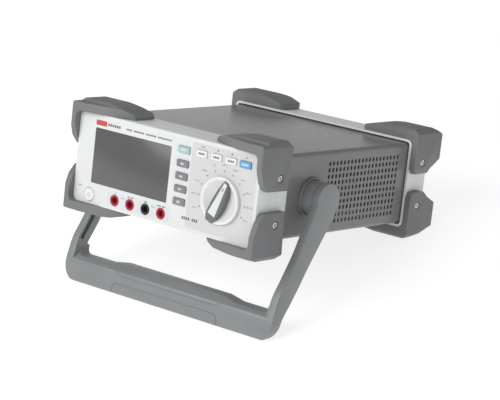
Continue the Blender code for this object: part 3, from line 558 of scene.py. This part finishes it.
def rear_bezel():
    """The rear shell; its rim is thinner round the sleeve, which leaves a dark gap."""
    bezel = prism("rear_bezel_shell", [bezel_outline(), bezel_cavity()], REAR_START, CASE_DEPTH, "Y")
    posts = [rectangle(x - 8, z - 8, x + 8, z + 8) for x, z in PANEL_SCREWS]
    ledges = prism("panel_ledges", posts, REAR_PANEL_Y - 9, REAR_PANEL_Y - GAP, "Y")
    keep_inside(ledges, prism("ledge_limit", [bezel_outline(-1.0)], REAR_START, CASE_DEPTH, "Y"))
    threads = prism("panel_threads", [circle(centre, 1.9, 20) for centre in PANEL_SCREWS],
                    REAR_PANEL_Y - 15, REAR_PANEL_Y + 5, "Y")
    inset = REAR_RIM
    outline = rounded(inset - HALF_WIDTH, inset, HALF_WIDTH - inset, BEZEL_HEIGHT - inset, 3.8)
    rim = prism("rear_rim", [outline], REAR_START - 1, REAR_START + 7, "Y")
    cut(fuse(bezel, ledges), threads, rim, bolt_holes("rear_bolts", SCREW_Y[1]))
    soften(bezel, 0.7, 3)
    finished(bezel, WHITE, ["rear_bezel"])


VENT_COLUMNS = 20
VENT_ROWS = 10
VENT_PITCH = (6.42, 6.95)
VENT_START = (121.3, 17.5)
VENT_SIZE = (3.2, 5.0)


def sleeve():
    """The folded sheet sleeve with its rows of side vents."""
    x, low, high = SLEEVE_X, SLEEVE_INSET, BEZEL_HEIGHT - SLEEVE_INSET
    sheet, radius = SLEEVE_SHEET, SLEEVE_RADIUS
    outer = rounded(-x, low, x, high, radius)
    inner = rounded(-x + sheet, low + sheet, x - sheet, high - sheet, radius - sheet)
    shell = prism("case_sleeve_sheet", [outer, inner], FRONT_DEPTH - SLEEVE_TUCK,
                  REAR_START + SLEEVE_TUCK, "Y")
    holes = [circle(PIVOT, SPIGOT_RADIUS + GAP, 40)]
    for column in range(VENT_COLUMNS):
        for row in range(VENT_ROWS):
            centre = (VENT_START[0] + VENT_PITCH[0] * column, VENT_START[1] + VENT_PITCH[1] * row)
            holes.append(slot(centre, *VENT_SIZE))
    cut(shell, prism("sleeve_holes", holes, -140, 140, "X"))
    finished(shell, PAINT, ["case_sleeve"])


def rear_screws():
    """The four screws that hold the rear panel to its ledges, with crossed slots."""
    face = REAR_PANEL_Y + 2.0
    profile = [(0, 0), (3.4, 0), (3.4, -1.1), (2.7, -2.1), (1.2, -2.5), (0, -2.6)]
    for index, (x, z) in enumerate(PANEL_SCREWS, start=1):
        head = turned(f"rear_panel_screw_{index}", profile, (x, face + 0.05, z), "Y", 32)
        cross = prism(f"cross_{index}", [rectangle(x - 2.0, z - 0.4, x + 2.0, z + 0.4)],
                      face + 1.5, face + 5, "Y")
        upright = prism(f"upright_{index}", [rectangle(x - 0.4, z - 2.0, x + 0.4, z + 2.0)],
                        face + 1.5, face + 5, "Y")
        cut(head, cross, upright)
        finished(head, SCREW)


# ---- Corner bumpers -------------------------------------------------------------------------

BUMPER_FRONT_VIEW = [(57, 90), (120, 90), (120, 55), (BUMPER_X, 55), (BUMPER_X, 105.5),
                     (127, BUMPER_TOP), (91, BUMPER_TOP), (74, 108.3), (60, 104.5), (57, 101)]
FRONT_SIDE_VIEW = [(LIP_Y, 84), (-2.9, 69.8), (5.2, 60.5), (37.8, 59.8), (40.7, 104.9),
                   (37.0, BUMPER_TOP), (6.0, BUMPER_TOP), (4.0, 107.7), (-6.5, 107.7),
                   (LIP_Y, 106.4)]
FRONT_PLAN = [(BUMPER_X, -6.2), (BUMPER_X, 42), (57, 42), (56.2, 10.5), (73, 3.2), (86, -1),
              (97, -4.5), (118, LIP_Y - 0.4), (131.7, LIP_Y - 0.4)]
REAR_Y = REAR_START + 0.8
REAR_UPPER_SIDE = [(REAR_Y, 66), (265, 61), (287.4, 61.3), (293.1, 66.4), (308.5, 75.9),
                   (312.2, 82.5), (313.5, 100.9), (302.4, 108.4), (296, BUMPER_TOP),
                   (264, BUMPER_TOP), (REAR_Y, 108)]
FOOT_FRONT = 279.0
FOOT_REAR = 312.0
REAR_LOWER_SIDE = [(REAR_Y, 33), (REAR_Y, -9.5), (264, -12.3), (272, -11.8),
                   (FOOT_FRONT, floor_z(FOOT_FRONT)), (FOOT_REAR, floor_z(FOOT_REAR)),
                   (310.9, 17.7), (308.8, 26.6), (293.9, 34), (286.2, 40), (279.8, 41.3),
                   (265, 40.3)]
REAR_PLAN = [(BUMPER_X, REAR_Y), (BUMPER_X, 309), (128, 314), (92, 314), (84, 301), (60, 297),
             (57, 290), (57, 266), (61, REAR_Y)]


def bumpers():
    core = prism("bumper_core", [bezel_outline(GAP)], LIP_Y - 5, CASE_DEPTH + GAP, "Y")
    bores = [bolt_holes(f"screw_bores_{y:.0f}", y) for y in SCREW_Y]
    side_views = {
        ("front", "upper"): FRONT_SIDE_VIEW,
        ("front", "lower"): upside_down(FRONT_SIDE_VIEW),
        ("rear", "upper"): REAR_UPPER_SIDE,
        ("rear", "lower"): REAR_LOWER_SIDE,
    }
    plans = {"front": FRONT_PLAN, "rear": REAR_PLAN}
    for side, sign in (("left", -1), ("right", 1)):
        mirror = flipped if sign < 0 else list
        start, end = sorted((sign * (BUMPER_X - 3), sign * (BUMPER_X + 5)))
        recess = prism(f"recess_{side}",
                       [circle(c, 4.3, 40) for y in SCREW_Y for c in screw_centres(y)],
                       start, end, "X")
        for end_name in ("front", "rear"):
            for level, turn in (("upper", list), ("lower", upside_down)):
                name = f"{end_name}_{level}_{side}"
                view = prism(f"view_{name}", [mirror(turn(BUMPER_FRONT_VIEW))], -15, 320, "Y")
                plan = prism(f"plan_{name}", [mirror(plans[end_name])], -20, 120, "Z")
                low, high = sorted((sign * 50, sign * 136))
                pad = prism(f"bumper_pad_{name}", [side_views[end_name, level]], low, high, "X")
                keep_inside(pad, view, plan)
                cut(pad, core, recess, *bores)
                soften(pad, 0.8, 3, 20.0)
                finished(pad, RUBBER, [f"bumper_{name}"])


def bumper_screws():
    """Eight socket screws in the bumpers' recesses."""
    profile = [(0, -2.2), (1.6, -2.2), (1.8, -0.8), (2.5, -0.6), (3.3, -0.9), (3.6, -1.5),
               (3.6, -3.0), (1.8, -3.2), (1.8, -13.5), (0, -13.5)]
    for sign, side in ((-1, "left"), (1, "right")):
        turn = Matrix.Rotation(math.radians(90 * sign), 4, "Y")
        for y, end in zip(SCREW_Y, ("front", "rear")):
            for (_, z), level in zip(screw_centres(y), ("lower", "upper")):
                name = f"{end}_{level}_{side}"
                screw = turned(f"socket_screw_{name}", profile, axis="Z", steps=36)
                head = Vector((sign * (BUMPER_X + GAP), y, z)) * MM
                finished(screw, SCREW, [f"bumper_screw_{name}"],
                         turn=Matrix.Translation(head) @ turn)


# ---- Front panel ----------------------------------------------------------------------------

def plate(name, outlines, material, body="case", proud=PRINT, turn=None):
    """A thin printed film or mark on the front panel."""
    return finished(prism(name, outlines, -proud, -0.01, "Y"), material, body=body, turn=turn)


def films():
    """The pale grey fields round the dial and the sockets."""
    dial_hole = circle(DIAL_CENTRE, DIAL_WELL + 1.0, 96)
    right = [rounded(34.5, 4.0, 122.0, 94.0, 2.5), dial_hole]
    for name in ("key_hold", "key_range", "key_relative", "key_shift"):
        x, z, width, height = KEYS[name]
        w, h = width / 2 + 0.9, height / 2 + 0.9
        right.append(rounded(x - w, z - h, x + w, z + h, 1.2, 4))
    plate("dial_field_film", right, PANEL, proud=0.04)
    low, high = JACKS[0][0] - 11.5, JACKS[-1][0] + 11.5
    field = [rounded(low, 3.2, high, 19.2, 1.5)]
    field += [circle(jack, 5.6, 48) for jack in JACKS]
    plate("socket_field_film", field, SOCKET_FIELD, proud=0.04)


def row(x, z, words, height, pitch):
    """Small blocks in a line centred on a place, which stand in for words of printing."""
    blocks = []
    at = x - pitch * (sum(words) + len(words) - 1.3) / 2
    for count in words:
        for _ in range(count):
            blocks.append(rectangle(at, z - height / 2, at + pitch * 0.7, z + height / 2))
            at += pitch
        at += pitch
    return blocks


def arrow(x, z, size):
    """A small solid triangle; a negative size points it the other way."""
    tip, tail = (x + size, z), x - size
    height = abs(size) * 1.1
    ends = [(tail, z - height), (tail, z + height)]
    return [tip, *(ends[::-1] if size > 0 else ends)]


MARK_HEIGHT = 89.1
DIAL_WORDS = [(2, 1), (3, 1), (2, 1), (4,), (2,), (3, 1), (5,), (2, 1), (3, 1), (3, 2), (2, 1)]


def panel_marks():
    """Plain generic marks where the panel has its printing."""
    dark, pale, blue = [], [], []
    centre = Vector(DIAL_CENTRE)
    for step, words in enumerate(DIAL_WORDS):
        angle = math.radians(202.5 - 22.5 * step)
        way = Vector((math.cos(angle), math.sin(angle)))
        dark.append(circle(centre + way * 30.6, 0.8, 16))
        label = centre + way * 36.8
        target = blue if step in (4, 6) else pale
        target += row(label.x, label.y, words, 1.7, 1.45)
    above = 91.0
    pale += row(KEYS["key_hold"][0], above, (3,), 1.7, 1.7)
    pale += row(KEYS["key_shift"][0], above, (2,), 1.7, 1.7)
    dark.append(arrow(KEYS["key_range"][0], above, -1.2))
    dark.append(arrow(KEYS["key_relative"][0], above, 1.2))
    dark += row(40.2, 13.2, (4, 3), 3.0, 2.8)
    dark += row(-76.4, MARK_HEIGHT, (6,), 2.8, 3.1)
    dark += row(-27.0, MARK_HEIGHT, (4, 7, 7, 9), 1.9, 2.15)
    pale += row(-117.0, 17.3, (5,), 1.1, 1.2)
    for (x, _), words in zip(JACKS, ((1,), (2, 2), (3,), (3, 3))):
        dark += row(x, 18.4, words, 1.6, 1.6)
    for x in (-54.6, -10.9):
        blue += row(x, 15.4, (4,), 1.3, 1.4)
    plate("panel_marks_dark", dark, INK)
    plate("panel_marks_pale", pale, INK_PALE)
    plate("panel_marks_blue", blue, INK_BLUE)
    plate("maker_block", [rounded(-102.3, MARK_HEIGHT - 2.8, -86.9, MARK_HEIGHT + 2.8, 0.8, 4)],
          INK_RED)


def window():
    """The window pane, with a face that comes flush with the panel."""
    x0, z0, x1, z1 = WINDOW
    pane = block("window_pane", (x0 - 3.7, PANEL_WALL + GAP, z0 - 3.7), (x1 + 3.7, 5.3, z1 + 3.7))
    face = block("window_face", (x0 + GAP, 0.1, z0 + GAP), (x1 - GAP, 4.5, z1 - GAP))
    soften(fuse(pane, face), 0.25, 2)
    finished(pane, SCREEN, ["display_window"])


KEY_FINISH = {"key_select": KEY_GREEN, "key_shift": KEY_BLUE, "key_hold": KEY_WHITE,
              "key_range": KEY_WHITE, "key_relative": KEY_WHITE}


def keys():
    for name, (x, z, width, height) in KEYS.items():
        w, h = width / 2, height / 2
        cap = prism(f"{name}_cap", [rounded(x - w, z - h, x + w, z + h, 1.0, 5)], -KEY_PROUD,
                    PANEL_WALL + 1, "Y")
        flange = block(f"{name}_flange", (x - w - KEY_FLANGE, PANEL_WALL + GAP, z - h - KEY_FLANGE),
                       (x + w + KEY_FLANGE, PANEL_WALL + 1.8, z + h + KEY_FLANGE))
        soften(fuse(cap, flange), 0.6, 4, 50.0)
        body = BODY_OF[name]
        finished(cap, KEY_FINISH.get(name, KEY_GREY), [name], body)
        light = KEY_FINISH.get(name) is KEY_WHITE
        words = (4,) if name in KEY_FINISH else (2,)
        mark = prism(f"{name}_mark", row(x, z, words, 2.2, 2.2), -KEY_PROUD - 0.05,
                     -KEY_PROUD + 0.1, "Y")
        finished(mark, INK if light else INK_WHITE, body=body)


def power_button():
    x, z = POWER_CENTRE
    r = POWER_RADIUS
    profile = [(0, -15.0), (2.0, -15.0), (2.0, -4.2), (r, -4.2), (r, 0.5), (r - 0.25, 0.95),
               (r - 0.7, 1.2), (r - 1.6, 1.1), (r - 3.0, 0.75), (0, 0.6)]
    finished(turned("power_cap", profile, (x, 0, z)), KEY_WHITE, ["power_button"], "power")
    ring = turned("power_ring", [(r + 0.5, 0.0), (r + 0.6, 0.35), (r + 1.0, 0.5), (r + 1.5, 0.35),
                                 (r + 1.7, 0.0)], (x, 0, z))
    finished(ring, WHITE)
    symbol = [arc((x, z), 2.1, 125, 415, 20) + arc((x, z), 1.6, 415, 125, 20),
              rectangle(x - 0.25, z + 0.6, x + 0.25, z + 2.8)]
    mark = prism("power_symbol", symbol, -0.72, -0.5, "Y")
    finished(mark, INK_PALE, body="power")


def sockets():
    """Shrouded 4 mm sockets: a glossy collar, a dark well and a plated contact."""
    collar = [(4.05, -26.0), (3.8, -12.0), (3.8, 0.2), (3.95, 0.5), (4.2, 0.6), (4.55, 0.6),
              (4.75, 0.45), (4.8, 0.2), (4.8, -26.0), (4.05, -26.0)]
    contact = [(2.1, -24.0), (2.1, -6.0), (2.25, -5.7), (2.6, -5.7), (2.75, -6.0), (2.75, -24.0),
               (2.1, -24.0)]
    cup = [(0, -24.0), (2.1, -24.2), (3.9, -12.5), (4.0, -26.0), (2.6, -26.0), (2.6, -30.0), (0, -30.0)]
    for index, (x, z) in enumerate(JACKS, start=1):
        black = index == 3
        finish, name = (BLACK, "jack_black") if black else (RED, "jack_red")
        body = turned(f"socket_collar_{index}", collar, (x, 0, z))
        finished(body, finish, [f"input_jack_{index}"])
        finished(turned(f"socket_cup_{index}", cup, (x, 0, z), steps=40), finish)
        finished(turned(f"socket_contact_{index}", contact, (x, 0, z), steps=40), BRASS)
        ring = turned(f"socket_ring_{index}", [(5.1, 0.0), (5.2, 0.35), (5.6, 0.45), (6.1, 0.35),
                                               (6.25, 0.0)], (x, 0, z))
        finished(ring, finish)


# ---- Dial -----------------------------------------------------------------------------------

GRIP_FACE = -6.4
GRIP_SIDE = [(-24.8, 4.4), (-18.6, 7.2), (-6.0, 7.4), (8.0, 6.1), (18.0, 4.2), (22.8, 2.6)]
GRIP_SLOPE = math.radians(1.5)
INSERT_SIDE = [(-17.0, 5.0), (20.5, 2.0)]

# The dial's bowl as (radius, height before the panel), from its middle to its rim
BOWL = [(0.0, -3.0), (8.0, -2.8), (13.0, -1.6), (17.5, 0.6), (20.8, 3.2), (22.0, 4.0)]


def taper(side, grow=0.0):
    """An outline across the grip, made from the half widths along it."""
    right = [(half + grow, place) for place, half in side]
    return right + [(-across, place) for across, place in reversed(right)]


def sloped(obj, lift):
    """Keeps what lies behind the grip's sloping face, moved out by lift."""
    room = block("slope_room", (-20, -20, -2), (20, 0, 60))
    room.location = Vector((0, GRIP_FACE - lift, GRIP_SIDE[0][0])) * MM
    room.rotation_euler.x = -GRIP_SLOPE
    return cut(obj, room)


def dial():
    hub = Matrix.Translation(Vector((DIAL_CENTRE[0], 0.0, DIAL_CENTRE[1])) * MM)
    turn = hub @ Matrix.Rotation(math.radians(90 - DIAL_REST), 4, "Y")
    rim = DIAL_RADIUS
    bowl = curved(BOWL, 5)
    outside = [(22.8, 4.25), (rim - 0.9, 4.2), (rim - 0.3, 3.9), (rim, 3.3), (rim, 0.5),
               (20.4, 0.5), (19.6, -0.9), (15.5, -3.6), (9.0, -5.2), (0.0, -5.4)]
    finished(turned("dial_disc", bowl + outside, steps=128), DISC, ["knob_disc"], "dial",
             turn)
    behind = [(radius, height + GAP) for radius, height in bowl]
    room = turned("bowl_room", behind + [(rim + 5, 4.25 + GAP), (rim + 5, -12), (0, -12)], steps=64)
    grip = prism("dial_grip", [taper(GRIP_SIDE)], GRIP_FACE - 3, 5, "Y")
    sloped(grip, 0.0)
    cut(grip, room)
    soften(grip, 0.6, 3, 25.0)
    finished(grip, GRIP, ["knob_grip"], "dial", turn)
    insert = prism("dial_insert", [taper(INSERT_SIDE)], GRIP_FACE - 3, GRIP_FACE + 1.0, "Y")
    sloped(insert, 0.35)
    soften(insert, 0.3, 2, 40.0)
    finished(insert, INSERT, ["knob_insert"], "dial", turn)
    mark = prism("dial_pointer", [rounded(-0.55, 11.5, 0.55, 16.0, 0.5, 4)], GRIP_FACE - 2,
                 GRIP_FACE + 0.6, "Y")
    sloped(mark, 0.45)
    finished(mark, INK, body="dial", turn=turn)


# ---- Swing handle ---------------------------------------------------------------------------

# The grip passes round the front bumpers' corners, so it keeps out of this circle
SWING_CLEARANCE = 1.0
SWING_RADIUS = math.hypot(PIVOT[0] - LIP_Y, BUMPER_TOP - PIVOT[1]) + SWING_CLEARANCE
FRONT_EDGE = [(74.9, 42.5), (66.2, 22), (53.6, -6), (38.3, -32), (28.4, -48), (23.8, -61),
              (20.4, -75), (19.6, -94)]


def handle_side_view():
    rear_edge = curved([(31, floor_z(31)), (34, -82.7), (37.6, -72.6), (47.6, -58), (60.6, -38.3),
                        (69.6, -23.3), (82.8, -3.4), (93.5, 12.6), (101.5, 25), (109.6, 38.7)])
    disc = arc(PIVOT, HUB_RADIUS, -20, 190, 40)
    return curved(FRONT_EDGE) + [(23, floor_z(23))] + rear_edge + disc


def handle_front_view():
    top = PIVOT[1] + HUB_RADIUS + 5
    corner = HANDLE_CORNER
    floor = floor_z(19)
    outer = [(ARM_OUTER, top), (-ARM_OUTER, top)]
    outer += arc((-ARM_OUTER + corner, floor + corner), corner, 180, 270, 14)
    outer += arc((ARM_OUTER - corner, floor + corner), corner, 270, 360, 14)
    fillet = GRIP_FILLET
    opening = [(ARM_INNER, top + 5), (-ARM_INNER, top + 5)]
    opening += arc((-ARM_INNER + fillet, GRIP_ENDS + fillet), fillet, 180, 270, 10)
    opening += [(-92, GRIP_ENDS), (-72, GRIP_TOP), (72, GRIP_TOP), (92, GRIP_ENDS)]
    opening += arc((ARM_INNER - fillet, GRIP_ENDS + fillet), fillet, 270, 360, 10)
    return outer, opening


def arm_channels(sign):
    """A channel in an arm's inner face, a rib, and a recess that is open to the rear."""
    spine = curved([(88, 24), (77, 8), (61, -14), (49, -33), (37, -52.5)], 2)
    recesses = []
    for near, far in ((1.8, 15.0), (-7.4, -1.8)):
        edges = {near: [], far: []}
        for before, here, after in zip([spine[0], *spine], spine, [*spine[1:], spine[-1]]):
            along = Vector((after[0] - before[0], after[1] - before[1])).normalized()
            for offset in (near, far):
                edges[offset].append((here[0] - along.y * offset, here[1] + along.x * offset))
        recesses.append(edges[near] + edges[far][::-1])
    start, end = sorted((sign * (ARM_INNER - 5), sign * (ARM_INNER + 4.5)))
    return prism(f"arm_channels_{sign}", recesses, start, end, "X")


PANEL_HALF = 75.0
GROOVE_WIDTH = 0.8
GROOVE_DEPTH = 0.5


def grip_panels():
    """Fine grooves that draw two long panels on the grip's front, above and below its middle."""
    outlines = []
    for low, high in ((-74.5, -45.0), (-115.0, -82.5)):
        for inset in (0.0, GROOVE_WIDTH):
            half = PANEL_HALF - inset
            outlines.append(rounded(-half, low + inset, half, high - inset, 7.5 - inset, 10))
    grooves = prism("panel_grooves", outlines, 5, 40, "Y")
    depth = [(y + GROOVE_DEPTH, z) for y, z in handle_side_view()]
    return cut(grooves, prism("groove_depth", [depth], -155, 155, "X"))


GRIP_CHAMFER = [(5, -70.5), (20.9, -70.5), (31.5, -62.6), (31.5, -40), (5, -40)]
GRIP_POCKET = [(28.5, -71), (62, -71), (50, -87), (25.5, -87)]


def handle():
    """One moulding: two arms, the grip, and a spigot that turns in each hub."""
    bar_shape = prism("handle_moulding", [handle_side_view()], -150, 150, "X")
    outer, opening = handle_front_view()
    keep_inside(bar_shape, prism("handle_shape", [outer], -20, 130, "Y"))
    chamfer = prism("grip_chamfer", [GRIP_CHAMFER], 0.7 - ARM_INNER, ARM_INNER - 0.7, "X")
    reach = BUMPER_X + SWING_CLEARANCE
    swing = prism("swing_room", [circle(PIVOT, SWING_RADIUS, 160)], -reach, reach, "X")
    pockets = [prism(f"grip_pocket_{index}", [GRIP_POCKET], start, start + 76, "X")
               for index, start in enumerate((-118, -38, 42))]
    cut(bar_shape, prism("handle_opening", [opening], -30, 140, "Y"), swing, chamfer,
        arm_channels(-1), arm_channels(1), *pockets, grip_panels())
    for sign in (-1, 1):
        start, end = sorted((sign * 116.5, sign * (ARM_INNER + 2)))
        fuse(bar_shape, prism(f"spigot_{sign}", [circle(PIVOT, SPIGOT_RADIUS, 40)], start, end, "X"))
    soften(bar_shape, 0.9, 3, 30.0)
    finished(bar_shape, GREY, ["carry_handle"], "handle")


def hubs():
    """The fixed boss on each side, with the raised ring round its foot."""
    for sign, side in ((-1, "left"), (1, "right")):
        start, end = sorted((sign * (SLEEVE_X + GAP), sign * (ARM_INNER - GAP)))
        boss = prism(f"hub_boss_{side}", [circle(PIVOT, HUB_RADIUS, 96),
                                          circle(PIVOT, SPIGOT_RADIUS + GAP, 40)], start, end, "X")
        finished(boss, GREY, [f"handle_boss_{side}"])
        base, height = SLEEVE_X + 0.05, SLEEVE_X + 3.4
        ring = [(HUB_RADIUS + 0.4, base), (HUB_RADIUS + 0.4, height - 0.4),
                (HUB_RADIUS + 0.8, height), (HUB_RADIUS + 1.6, height),
                (HUB_RADIUS + 2.6, height - 0.8), (HUB_RADIUS + 3.2, base),
                (HUB_RADIUS + 0.4, base)]
        turn = Matrix.Translation(Vector((0.0, *PIVOT)) * MM)
        turn = turn @ Matrix.Rotation(math.radians(90 * sign), 4, "Y")
        collar = turned(f"hub_ring_{side}", ring, axis="Z", steps=96)
        finished(collar, PAINT, turn=turn)


def cad_finishes():
    """Better materials for the CAD nodes whose shape is right."""
    for name, material in CAD_FINISHES.items():
        materials = frame["nodes"][name].data.materials
        for index in range(len(materials)):
            materials[index] = material


camera()
studio()
front_bezel()
rear_bezel()
sleeve()
rear_screws()
bumpers()
bumper_screws()
films()
panel_marks()
window()
keys()
power_button()
sockets()
dial()
handle()
hubs()
cad_finishes()
clear_shop()
